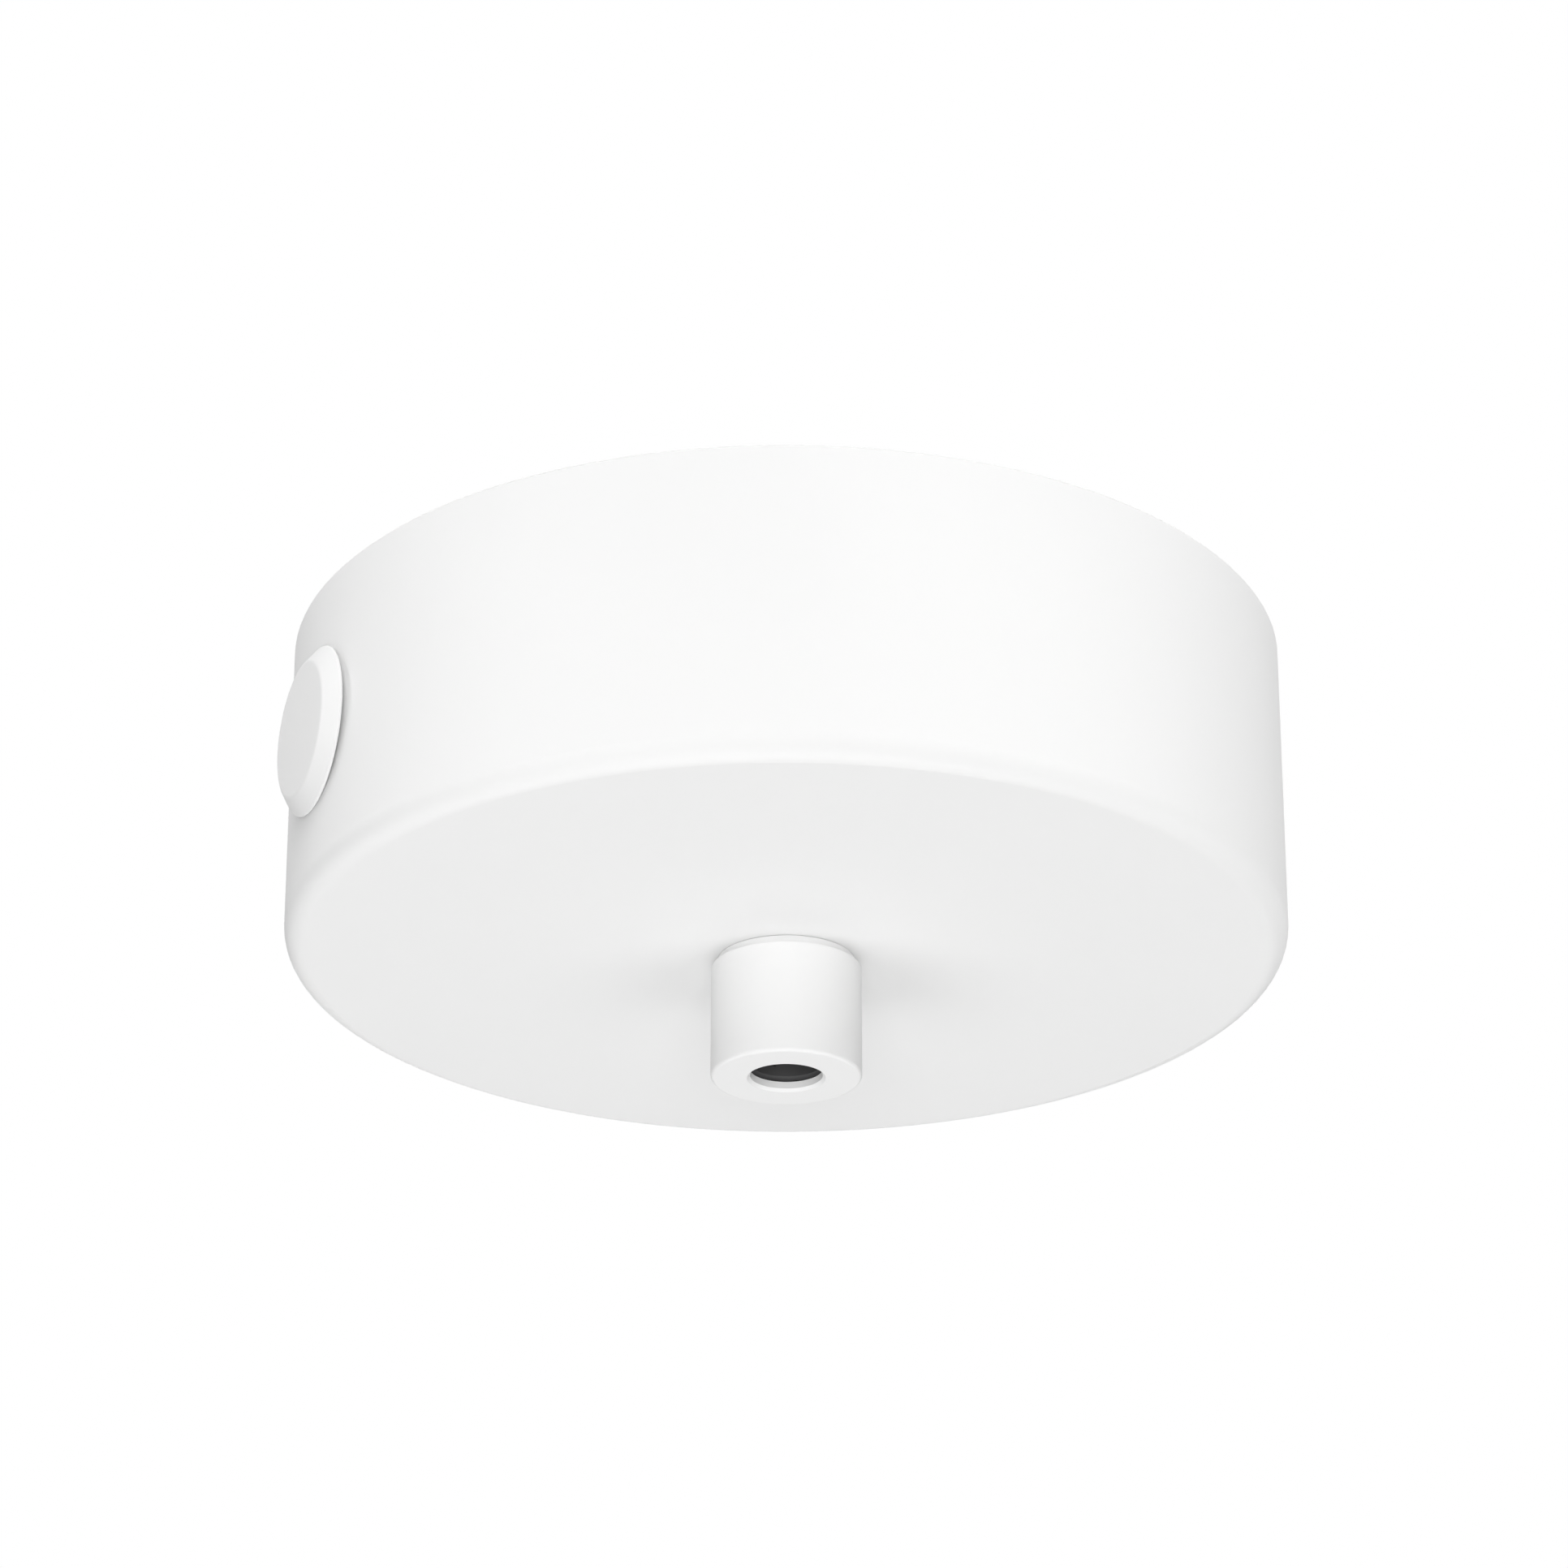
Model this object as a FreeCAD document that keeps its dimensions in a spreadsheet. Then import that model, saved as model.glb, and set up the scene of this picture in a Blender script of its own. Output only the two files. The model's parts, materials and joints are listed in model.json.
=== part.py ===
"""Electrical ceiling rose for one pendant flex, as a parametric document in millimetres.

The origin is the centre of the ceiling face and +Z points up into the ceiling.  The strap bracket lies
along X, so the two side fixing screws are on the X axis, and everything else hangs below the ceiling.
"""
import FreeCAD, Part
import math
import os
import re

import Sketcher

# Driving dimensions, in millimetres: name, value, what it is
DIMENSIONS = (
    ("cup_diameter", 100.0, "outside of the cup"),
    ("cup_height", 32.0, "ceiling to the underside of the cup"),
    ("cup_wall", 1.0, "drawn sheet of the cup"),
    ("cup_edge_radius", 1.1, "inside round of the cup's lower edge"),
    ("cup_rim_chamfer", 0.3, "broken edges of the cup's open rim"),
    ("side_screw_drop", 15.8, "ceiling to the axis of the side screws"),
    ("side_screw_thread", 4.0, "thread of the side screws"),
    ("side_screw_length", 9.5, "shank of a side screw, under its head"),
    ("side_head_diameter", 17.0, "disc head of a side screw"),
    ("side_head_thickness", 1.6, "thickness of the disc head"),
    ("side_head_bevel_width", 1.7, "bevel of the disc head, across the face"),
    ("side_head_bevel_depth", 1.3, "bevel of the disc head, along the axis"),
    ("side_head_gap", 0.1, "room between the disc head and the cup's wall"),
    ("side_hole_clearance", 0.3, "room round a side screw in the cup's wall"),
    ("screw_tip_chamfer", 0.5, "chamfer at the tips of the threaded pieces"),
    ("strap_width", 22.0, "width of the bracket's strap"),
    ("strap_thickness", 1.5, "sheet of the bracket"),
    ("strap_bend_radius", 1.5, "inside radius of the bracket's bends"),
    ("leg_length", 23.0, "ceiling to the end of a bracket leg"),
    ("leg_end_round", 7.0, "corner radius at the end of a leg"),
    ("leg_gap", 0.4, "room between the edges of a leg and the cup"),
    ("slot_spacing", 60.0, "distance between the ceiling slots"),
    ("slot_length", 14.0, "ceiling slot, end to end"),
    ("slot_width", 5.0, "ceiling slot, across"),
    ("supply_hole", 14.0, "hole for the supply cable in the strap"),
    ("wing_width", 34.0, "side wing of the strap that carries the terminal block"),
    ("wing_reach", 28.5, "strap's centre line to the end of the wing"),
    ("wing_round", 4.0, "corner radius of the wing"),
    ("press_nut_diameter", 8.0, "flange of a press nut"),
    ("press_nut_height", 3.0, "flange of a press nut, along its axis"),
    ("press_nut_collar", 6.0, "collar of a press nut in its leg"),
    ("thread_gap", 0.05, "room between a screw and its thread"),
    ("press_gap", 0.02, "room round a pressed or seated piece"),
    ("cable_bore", 7.2, "way through the grip for the flex"),
    ("grip_diameter", 15.0, "outside of the grip cap"),
    ("grip_length", 12.5, "underside of the cup to the underside of the cap"),
    ("cap_lip", 1.0, "thickness of the cap's lip"),
    ("cap_wall", 1.25, "wall of the cap"),
    ("cap_top_gap", 0.06, "room between the cap and the cup"),
    ("cap_neck_height", 0.9, "set-back neck at the cap's upper end"),
    ("cap_neck_step", 0.6, "set-back of the neck from the cap's side"),
    ("cap_edge_round", 0.35, "round at the cap's lower edge"),
    ("cap_hole_chamfer", 0.3, "chamfer round the hole in the cap's lip"),
    ("core_thread", 10.0, "thread of the core in the cup"),
    ("core_thread_length", 9.0, "core above the underside of the cup"),
    ("core_hole_clearance", 0.2, "room round the core in the cup"),
    ("core_drop", 7.0, "core below the underside of the cup"),
    ("seat_depth", 3.8, "cone in the core that squeezes the clamp ring"),
    ("seat_mouth", 11.0, "wide end of the cone"),
    ("seat_throat", 9.4, "narrow end of the cone"),
    ("clamp_gap", 0.3, "room round the clamp ring when it is slack"),
    ("clamp_foot_diameter", 11.2, "lower part of the clamp ring"),
    ("clamp_foot_chamfer", 0.6, "chamfer at the clamp ring's lower opening"),
    ("clamp_slit", 0.8, "slits of the clamp ring"),
    ("clamp_base", 1.6, "clamp ring below its slits"),
    ("lock_nut_across_flats", 14.0, "lock nut, across flats"),
    ("lock_nut_height", 3.0, "lock nut, along its axis"),
    ("lock_washer_diameter", 18.0, "toothed washer under the lock nut"),
    ("lock_washer_thickness", 0.8, "sheet of the toothed washer"),
    ("lock_washer_tooth", 1.6, "depth of the notches between the teeth"),
    ("lock_washer_notch", 1.5, "width of the notches between the teeth"),
    ("block_offset", 20.0, "strap's centre line to the middle of the block"),
    ("pole_pitch", 11.0, "distance between the poles of the block"),
    ("pole_width", 6.8, "housing round one tube"),
    ("pole_length", 16.0, "housing along the tubes"),
    ("pole_drop", 5.2, "top of the block to the axis of its tubes"),
    ("web_thickness", 2.5, "web between the poles"),
    ("web_length", 11.0, "web along the tubes"),
    ("well_diameter", 4.0, "well over a clamping screw"),
    ("well_wall", 0.9, "wall of a well"),
    ("well_drop", 7.2, "axis of the tubes to the mouth of the wells"),
    ("well_spacing", 8.0, "distance between the two wells of a pole"),
    ("tube_diameter", 5.0, "brass tube"),
    ("tube_bore", 3.4, "way for a wire in the tube"),
    ("tube_length", 13.0, "brass tube, end to end"),
    ("clamp_screw_thread", 3.0, "clamping screw of a tube"),
    ("clamp_screw_head", 3.7, "head of a clamping screw"),
    ("clamp_screw_head_height", 2.0, "head of a clamping screw, along its axis"),
    ("clamp_screw_stand", 1.1, "tube to the head of its clamping screw"),
    ("clamp_screw_reach", 0.8, "tip of a clamping screw inside the tube's bore"),
    ("block_screw_thread", 2.5, "screw that holds the block"),
    ("block_screw_head", 3.9, "head of that screw"),
    ("block_screw_head_height", 1.6, "head of that screw, along its axis"),
    ("earth_offset", 15.0, "centre of the strap to the earth screw"),
    ("earth_thread", 4.0, "earth screw"),
    ("earth_head", 8.0, "head of the earth screw"),
    ("earth_head_height", 2.6, "head of the earth screw, along its axis"),
    ("earth_collar_diameter", 6.4, "drawn collar in the strap for the earth screw"),
    ("earth_collar_height", 1.7, "drawn collar, below the strap"),
    ("earth_plate_width", 9.0, "square clamp plate of the earth screw"),
    ("earth_plate_thickness", 1.2, "clamp plate"),
    ("earth_plate_lip", 0.9, "turned-up edge of the clamp plate"),
    ("earth_washer_diameter", 7.4, "spring washer of the earth screw"),
    ("earth_washer_thickness", 1.0, "spring washer"),
    ("earth_washer_split", 0.8, "split of the spring washer"),
    ("hole_clearance", 0.2, "room round a small screw in a plain hole"),
    ("screw_tip_recess", 0.3, "tips of the bracket's screws below the ceiling"),
    ("drive_width", 0.8, "screwdriver slots"),
    ("drive_depth", 1.0, "screwdriver slots"),
)
POLE_NAMES = ("live", "neutral", "earth")
LOCK_WASHER_TEETH = 12

doc = FreeCAD.newDocument("ceiling_rose")
sheet = doc.addObject("Spreadsheet::Sheet", "Sizes")
for row, (alias, size, note) in enumerate(DIMENSIONS, start=1):
    sheet.set(f"A{row}", note)
    sheet.set(f"B{row}", str(size))
    sheet.setAlias(f"B{row}", alias)
doc.recompute()

ALIAS = re.compile(r"\b(" + "|".join(name for name, _, _ in DIMENSIONS) + r")\b")

# Places and sizes that follow from the driving dimensions, as expressions
CUP_RADIUS = "(cup_diameter / 2)"
CUP_FLOOR = "(cup_wall - cup_height)"
LEG_FACE = "(sqrt(({0} - cup_wall)^2 - (strap_width / 2)^2) - leg_gap)".format(CUP_RADIUS)
LEG_BACK = f"({LEG_FACE} - strap_thickness)"
CAP_TOP = "(-cup_height - cap_top_gap)"
CAP_FOOT = "(-cup_height - grip_length)"
CAP_LIP_TOP = f"({CAP_FOOT} + cap_lip)"
CAP_BORE_RADIUS = "(grip_diameter / 2 - cap_wall)"
CORE_FOOT = "(-cup_height - core_drop)"
SEAT_TOP = f"({CORE_FOOT} + seat_depth)"
NUT_SEAT = f"({CUP_FLOOR} + lock_washer_thickness)"
BLOCK_TOP = "(-strap_thickness)"
TUBE_AXIS = f"({BLOCK_TOP} - pole_drop)"
WEB_FOOT = f"({BLOCK_TOP} - web_thickness)"
SCREW_HEAD_TOP = f"({TUBE_AXIS} - tube_diameter / 2 - clamp_screw_stand)"
EARTH_SEAT = "(-strap_thickness - earth_collar_height)"
EARTH_PLATE_FOOT = f"({EARTH_SEAT} - earth_plate_thickness)"
EARTH_WASHER_FOOT = f"({EARTH_PLATE_FOOT} - earth_washer_thickness)"
POLE_PLACES = [f"({index - 1} * pole_pitch)" for index in range(len(POLE_NAMES))]
WELL_PLACES = ["(block_offset - well_spacing / 2)", "(block_offset + well_spacing / 2)"]


def number(expression):
    """Value of an expression of the sheet's names."""
    return float(sheet.evalExpression(str(expression)))


def bind(item, prop, expression):
    """Tie a property to the sheet."""
    item.setExpression(prop, ALIAS.sub(r"Sizes.\1", str(expression)))


def new_body(label):
    body = doc.addObject("PartDesign::Body", label)
    body.Label = label
    return body


def new_sketch(body, name, plane, along_x="0", along_y="0", height="0"):
    """Sketch on one of the body's own planes, with its origin moved in the plane and off it."""
    sketch = body.newObject("Sketcher::SketchObject", f"{body.Label}_{name}")
    support = [feature for feature in body.Origin.OriginFeatures if feature.Role == plane]
    sketch.AttachmentSupport = [(support[0], "")]
    sketch.MapMode = "FlatFace"
    for axis, place in zip("xyz", (along_x, along_y, height)):
        bind(sketch, f"AttachmentOffset.Base.{axis}", place)
    return sketch


def dimension(sketch, constraint, expression):
    """Add a constraint to a sketch and tie it to the sheet."""
    index = sketch.addConstraint(constraint)
    bind(sketch, f"Constraints[{index}]", expression)


def place_vertex(sketch, geometry, end, point):
    """Tie one end, or the centre, of a line or circle to a point."""
    for kind, expression in zip(("DistanceX", "DistanceY"), point):
        dimension(sketch, Sketcher.Constraint(kind, geometry, end, number(expression)), expression)


def vector(point):
    return FreeCAD.Vector(number(point[0]), number(point[1]), 0)


def towards(start, end):
    """Signs of the way from one point to another along X and Y."""
    way = vector(end) - vector(start)
    return [0 if abs(step) < 1e-9 else math.copysign(1, step) for step in (way.x, way.y)]


def corner_arc(sketch, before, corner, after):
    """Arc that rounds the right-angled corner between two upright or level sides."""
    x, y, radius = corner
    way_in, way_out = towards(corner, before), towards(corner, after)
    start, end = [tuple(f"({place}) + ({sign}) * ({radius})" for place, sign in zip((x, y), way))
                  for way in (way_in, way_out)]
    centre = tuple(f"({place}) + ({a + b}) * ({radius})" for place, a, b in zip((x, y), way_in, way_out))
    outward = vector(corner) - vector(centre)
    outward.normalize()
    middle = vector(centre) + outward * number(radius)
    left_turn = (vector(start) - vector(centre)).cross(vector(end) - vector(centre)).z > 0
    first, last = (start, end) if left_turn else (end, start)
    arc = sketch.addGeometry(Part.Arc(vector(first), middle, vector(last)))
    dimension(sketch, Sketcher.Constraint("Radius", arc, number(radius)), radius)
    place_vertex(sketch, arc, 3, centre)
    return arc, start, end, (1, 2) if left_turn else (2, 1)


def outline(sketch, points):
    """Closed outline through the given points; a point with a third value is a corner of that radius."""
    count = len(points)
    rounds = {index: corner_arc(sketch, points[index - 1], point, points[(index + 1) % count])
              for index, point in enumerate(points) if len(point) == 3}
    leave = [rounds[index][2] if index in rounds else point for index, point in enumerate(points)]
    arrive = [rounds[index][1] if index in rounds else point for index, point in enumerate(points)]
    lines = [sketch.addGeometry(Part.LineSegment(vector(leave[index]), vector(arrive[(index + 1) % count])))
             for index in range(count)]
    for index, point in enumerate(points):
        if index in rounds:
            arc, _, _, (first, last) = rounds[index]
            sketch.addConstraint(Sketcher.Constraint("Tangent", lines[index - 1], 2, arc, first))
            sketch.addConstraint(Sketcher.Constraint("Tangent", arc, last, lines[index], 1))
        else:
            sketch.addConstraint(Sketcher.Constraint("Coincident", lines[index - 1], 2, lines[index], 1))
            place_vertex(sketch, lines[index], 1, point)


def rectangle(sketch, low, high):
    outline(sketch, [low, (high[0], low[1]), high, (low[0], high[1])])


def circle(sketch, centre, diameter):
    ring = sketch.addGeometry(Part.Circle(vector(centre), FreeCAD.Vector(0, 0, 1), number(diameter) / 2))
    place_vertex(sketch, ring, 3, centre)
    dimension(sketch, Sketcher.Constraint("Diameter", ring, number(diameter)), diameter)


def half_round(sketch, start, middle, end):
    """Arc from start over middle to end."""
    return sketch.addGeometry(Part.Arc(vector(start), vector(middle), vector(end)))


def arch(sketch, centre, radius, top):
    """Outline with a flat top and straight sides that ends in a half round at the bottom."""
    x, y = centre
    left, right = f"({x}) - ({radius})", f"({x}) + ({radius})"
    corners = [(right, y), (right, top), (left, top), (left, y)]
    sides = [sketch.addGeometry(Part.LineSegment(vector(a), vector(b))) for a, b in zip(corners, corners[1:])]
    bowl = half_round(sketch, (left, y), (x, f"({y}) - ({radius})"), (right, y))
    for line, after in zip(sides, sides[1:]):
        sketch.addConstraint(Sketcher.Constraint("Coincident", line, 2, after, 1))
    sketch.addConstraint(Sketcher.Constraint("Tangent", sides[2], 2, bowl, 1))
    sketch.addConstraint(Sketcher.Constraint("Tangent", bowl, 2, sides[0], 1))
    place_vertex(sketch, bowl, 3, centre)
    dimension(sketch, Sketcher.Constraint("Radius", bowl, number(radius)), radius)
    dimension(sketch, Sketcher.Constraint("DistanceY", sides[1], 1, number(top)), top)
    sketch.addConstraint(Sketcher.Constraint("Horizontal", sides[1]))


def slot(sketch, centre, length, width):
    """Slot with round ends along the sketch's X axis."""
    x, y = centre
    reach = f"(({length}) - ({width})) / 2"
    low, high = f"({y}) - ({width}) / 2", f"({y}) + ({width}) / 2"
    left, right = f"({x}) - {reach}", f"({x}) + {reach}"
    floor = sketch.addGeometry(Part.LineSegment(vector((left, low)), vector((right, low))))
    nose = half_round(sketch, (right, low), (f"({x}) + ({length}) / 2", y), (right, high))
    roof = sketch.addGeometry(Part.LineSegment(vector((right, high)), vector((left, high))))
    tail = half_round(sketch, (left, high), (f"({x}) - ({length}) / 2", y), (left, low))
    loop = [floor, nose, roof, tail]
    for edge, after in zip(loop, loop[1:] + loop[:1]):
        sketch.addConstraint(Sketcher.Constraint("Tangent", edge, 2, after, 1))
    place_vertex(sketch, nose, 3, (right, y))
    place_vertex(sketch, tail, 3, (left, y))
    dimension(sketch, Sketcher.Constraint("Radius", nose, number(width) / 2), f"({width}) / 2")


def feature(body, kind, name, sketch):
    item = body.newObject(f"PartDesign::{kind}", f"{body.Label}_{name}")
    item.Profile = sketch
    return item


def pad(body, name, sketch, length, reverse=False, both_ways=False):
    item = feature(body, "Pad", name, sketch)
    bind(item, "Length", length)
    item.Reversed = reverse
    item.SideType = "Symmetric" if both_ways else "One side"
    return item


def pocket(body, name, sketch, length=None, reverse=False, both_ways=False):
    """Cut a sketch into the body, right through it where no length is given."""
    item = feature(body, "Pocket", name, sketch)
    if length is None:
        item.Type = "ThroughAll"
    else:
        bind(item, "Length", length)
    item.Reversed = reverse
    item.SideType = "Symmetric" if both_ways else "One side"
    return item


def turn(body, name, sketch, axis="V_Axis", kind="Revolution"):
    item = feature(body, kind, name, sketch)
    item.ReferenceAxis = (sketch, [axis])
    item.Angle = 360
    return item


def round_edges(body, name, base, radius, wanted):
    """Fillet those edges of a feature that the test picks."""
    doc.recompute()
    picked = [f"Edge{index}" for index, edge in enumerate(base.Shape.Edges, start=1) if wanted(edge)]
    if not picked:
        raise RuntimeError(f"{body.Label}: no edge found for {name}")
    item = body.newObject("PartDesign::Fillet", f"{body.Label}_{name}")
    item.Base = (base, picked)
    bind(item, "Radius", radius)
    return item


def near(value, expression):
    return abs(value - number(expression)) < 1e-4


def straight_edge(direction, **place):
    """Test for the straight edges along a direction through the given coordinates of their middle."""
    def wanted(edge):
        if not isinstance(edge.Curve, Part.Line) or abs(edge.Curve.Direction.dot(direction)) < 0.999:
            return False
        middle = edge.CenterOfMass
        return all(near(abs(getattr(middle, axis)), size) for axis, size in place.items())
    return wanted


def make_cup():
    body = new_body("canopy_cup")
    section = new_sketch(body, "section", "XZ_Plane")
    bore = "core_thread / 2 + core_hole_clearance"
    inner = f"{CUP_RADIUS} - cup_wall"
    outline(section, [(bore, "-cup_height"), (CUP_RADIUS, "-cup_height", "cup_edge_radius + cup_wall"),
                      (CUP_RADIUS, "-cup_rim_chamfer"), (f"{CUP_RADIUS} - cup_rim_chamfer", "0"),
                      (f"{inner} + cup_rim_chamfer", "0"), (inner, "-cup_rim_chamfer"),
                      (inner, CUP_FLOOR, "cup_edge_radius"), (bore, CUP_FLOOR)])
    turn(body, "shell", section)
    holes = new_sketch(body, "side_hole", "YZ_Plane", along_y="-side_screw_drop")
    circle(holes, ("0", "0"), "side_screw_thread + 2 * side_hole_clearance")
    pocket(body, "side_holes", holes, both_ways=True)
    return body


def make_bracket():
    body = new_body("ceiling_bracket")
    profile = new_sketch(body, "fold", "XZ_Plane")
    outer_bend = "strap_bend_radius + strap_thickness"
    outline(profile, [(LEG_FACE, "-leg_length"), (LEG_FACE, "0", outer_bend),
                      (f"-{LEG_FACE}", "0", outer_bend), (f"-{LEG_FACE}", "-leg_length"),
                      (f"-{LEG_BACK}", "-leg_length"),
                      (f"-{LEG_BACK}", "-strap_thickness", "strap_bend_radius"),
                      (LEG_BACK, "-strap_thickness", "strap_bend_radius"), (LEG_BACK, "-leg_length")])
    strap = pad(body, "strap", profile, "strap_width", both_ways=True)
    through_leg = FreeCAD.Vector(1, 0, 0)
    round_edges(body, "leg_ends", strap, "leg_end_round",
                straight_edge(through_leg, y="strap_width / 2", z="leg_length"))
    wing_outline = new_sketch(body, "wing_outline", "XY_Plane")
    rectangle(wing_outline, ("-wing_width / 2", "0"), ("wing_width / 2", "wing_reach"))
    wing = pad(body, "wing", wing_outline, "strap_thickness", reverse=True)
    upright = FreeCAD.Vector(0, 0, 1)
    round_edges(body, "wing_corners", wing, "wing_round",
                straight_edge(upright, x="wing_width / 2", y="wing_reach"))
    collar_outline = new_sketch(body, "earth_collar_outline", "XY_Plane")
    earth = ("-earth_offset", "0")
    circle(collar_outline, earth, "earth_collar_diameter")
    pad(body, "earth_collar", collar_outline, f"-{EARTH_SEAT}", reverse=True)
    holes = new_sketch(body, "ceiling_holes", "XY_Plane")
    circle(holes, ("0", "0"), "supply_hole")
    for side in ("", "-"):
        slot(holes, (f"{side}slot_spacing / 2", "0"), "slot_length", "slot_width")
    circle(holes, earth, "earth_thread + 2 * thread_gap")
    circle(holes, ("pole_pitch / 2", "block_offset"), "block_screw_thread + 2 * thread_gap")
    pocket(body, "holes", holes)
    nut_holes = new_sketch(body, "nut_hole", "YZ_Plane", along_y="-side_screw_drop")
    circle(nut_holes, ("0", "0"), "press_nut_collar + 2 * press_gap")
    pocket(body, "nut_holes", nut_holes, both_ways=True)
    return body


def make_press_nuts():
    body = new_body("bracket_press_nuts")
    section = new_sketch(body, "section", "XZ_Plane", along_y="-side_screw_drop")
    bore = "side_screw_thread / 2 + thread_gap"
    collar = "press_nut_collar / 2"
    flange = "press_nut_diameter / 2"
    end = f"{LEG_BACK} - press_nut_height"
    outline(section, [(LEG_FACE, bore), (LEG_FACE, collar), (LEG_BACK, collar), (LEG_BACK, flange),
                      (end, flange), (end, bore)])
    nut = turn(body, "nut", section, axis="H_Axis")
    pair = body.newObject("PartDesign::Mirrored", "bracket_press_nuts_pair")
    pair.Originals = [nut]
    plane = [item for item in body.Origin.OriginFeatures if item.Role == "YZ_Plane"][0]
    pair.MirrorPlane = (plane, [""])
    body.Tip = pair
    return body


def make_side_screw(label, side):
    """Disc-headed side screw; side is the sign of its place on X."""
    body = new_body(label)
    section = new_sketch(body, "section", "XZ_Plane", along_y="-side_screw_drop")
    seat = f"{CUP_RADIUS} + side_head_gap"
    tip = f"{seat} - side_screw_length"
    shank = "side_screw_thread / 2"
    head = "side_head_diameter / 2"
    face = f"{seat} + side_head_thickness"
    points = [(tip, "0"), (tip, f"{shank} - screw_tip_chamfer"), (f"{tip} + screw_tip_chamfer", shank),
              (seat, shank), (seat, head), (f"{face} - side_head_bevel_depth", head),
              (face, f"{head} - side_head_bevel_width"), (face, "0")]
    outline(section, [(f"{side}({x})", radius) for x, radius in points])
    turn(body, "screw", section, axis="H_Axis")
    return body


def make_grip_core():
    body = new_body("grip_core")
    section = new_sketch(body, "section", "XZ_Plane")
    top = "core_thread_length - cup_height"
    bore = "cable_bore / 2"
    thread = "core_thread / 2"
    lower = f"{CAP_BORE_RADIUS} - thread_gap"
    outline(section, [(bore, top), (f"{thread} - screw_tip_chamfer", top),
                      (thread, f"{top} - screw_tip_chamfer"), (thread, "-cup_height"), (lower, "-cup_height"),
                      (lower, CORE_FOOT), ("seat_mouth / 2", CORE_FOOT), ("seat_throat / 2", SEAT_TOP),
                      (bore, SEAT_TOP)])
    turn(body, "core", section)
    return body


def make_lock_washer():
    body = new_body("grip_lock_washer")
    rings = new_sketch(body, "rings", "XY_Plane", height=CUP_FLOOR)
    circle(rings, ("0", "0"), "lock_washer_diameter")
    circle(rings, ("0", "0"), "core_thread + 2 * core_hole_clearance")
    pad(body, "ring", rings, "lock_washer_thickness")
    notch_outline = new_sketch(body, "notch_outline", "XY_Plane", height=NUT_SEAT)
    rim = "lock_washer_diameter / 2"
    rectangle(notch_outline, (f"{rim} - lock_washer_tooth", "-lock_washer_notch / 2"),
              (f"{rim} + lock_washer_tooth", "lock_washer_notch / 2"))
    notch = pocket(body, "notch", notch_outline)
    teeth = body.newObject("PartDesign::PolarPattern", "grip_lock_washer_teeth")
    teeth.Originals = [notch]
    teeth.Axis = (notch_outline, ["N_Axis"])
    teeth.Angle = 360
    teeth.Occurrences = LOCK_WASHER_TEETH
    body.Tip = teeth
    return body


def hexagon(sketch, across_flats):
    corner = f"({across_flats}) / sqrt(3)"
    flat = f"({across_flats}) / 2"
    outline(sketch, [(corner, "0"), (f"{corner} / 2", flat), (f"-{corner} / 2", flat), (f"-{corner}", "0"),
                     (f"-{corner} / 2", f"-{flat}"), (f"{corner} / 2", f"-{flat}")])


def make_lock_nut():
    body = new_body("grip_lock_nut")
    flats = new_sketch(body, "flats", "XY_Plane", height=NUT_SEAT)
    hexagon(flats, "lock_nut_across_flats")
    circle(flats, ("0", "0"), "core_thread + 2 * thread_gap")
    pad(body, "nut", flats, "lock_nut_height")
    corner = "lock_nut_across_flats / sqrt(3)"
    flat = "lock_nut_across_flats / 2"
    top = f"{NUT_SEAT} + lock_nut_height"
    bevel = new_sketch(body, "bevel", "XZ_Plane")
    outline(bevel, [(flat, top), (corner, top), (corner, f"{top} - ({corner} - {flat}) * tan(30)")])
    turn(body, "bevels", bevel, kind="Groove")
    return body


def make_clamp_ring():
    body = new_body("grip_clamp_ring")
    section = new_sketch(body, "section", "XZ_Plane")
    bore = "cable_bore / 2"
    foot = "clamp_foot_diameter / 2"
    top = f"{SEAT_TOP} - clamp_gap"
    shoulder = f"{CORE_FOOT} - clamp_gap"
    taper = "(seat_mouth - seat_throat) / 2 / seat_depth"
    cone = "seat_mouth / 2 - clamp_gap"
    outline(section, [(f"{bore} + clamp_foot_chamfer", CAP_LIP_TOP), (foot, CAP_LIP_TOP), (foot, shoulder),
                      (cone, shoulder), (cone, CORE_FOOT),
                      (f"{cone} - ({taper}) * (seat_depth - clamp_gap)", top), (bore, top),
                      (bore, f"{CAP_LIP_TOP} + clamp_foot_chamfer")])
    turn(body, "ring", section)
    reach = "clamp_foot_diameter"
    half = "clamp_slit / 2"
    depth = f"{top} - ({CAP_LIP_TOP}) - clamp_base"
    for name, width, length in (("slit_along", reach, half), ("slit_across", half, reach)):
        slit = new_sketch(body, f"{name}_outline", "XY_Plane", height=top)
        rectangle(slit, (f"-{width}", f"-{length}"), (width, length))
        pocket(body, name, slit, length=depth)
    return body


def make_cap():
    body = new_body("grip_cap")
    section = new_sketch(body, "section", "XZ_Plane")
    rim = "grip_diameter / 2"
    bore = "cable_bore / 2"
    neck = f"{rim} - cap_neck_step"
    shoulder = f"{CAP_TOP} - cap_neck_height"
    outline(section, [(CAP_BORE_RADIUS, CAP_TOP), (neck, CAP_TOP), (neck, shoulder), (rim, shoulder),
                      (rim, CAP_FOOT, "cap_edge_round"),
                      (f"{bore} + cap_hole_chamfer", CAP_FOOT), (bore, f"{CAP_FOOT} + cap_hole_chamfer"),
                      (bore, CAP_LIP_TOP), (CAP_BORE_RADIUS, CAP_LIP_TOP)])
    turn(body, "cap", section)
    return body


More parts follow.
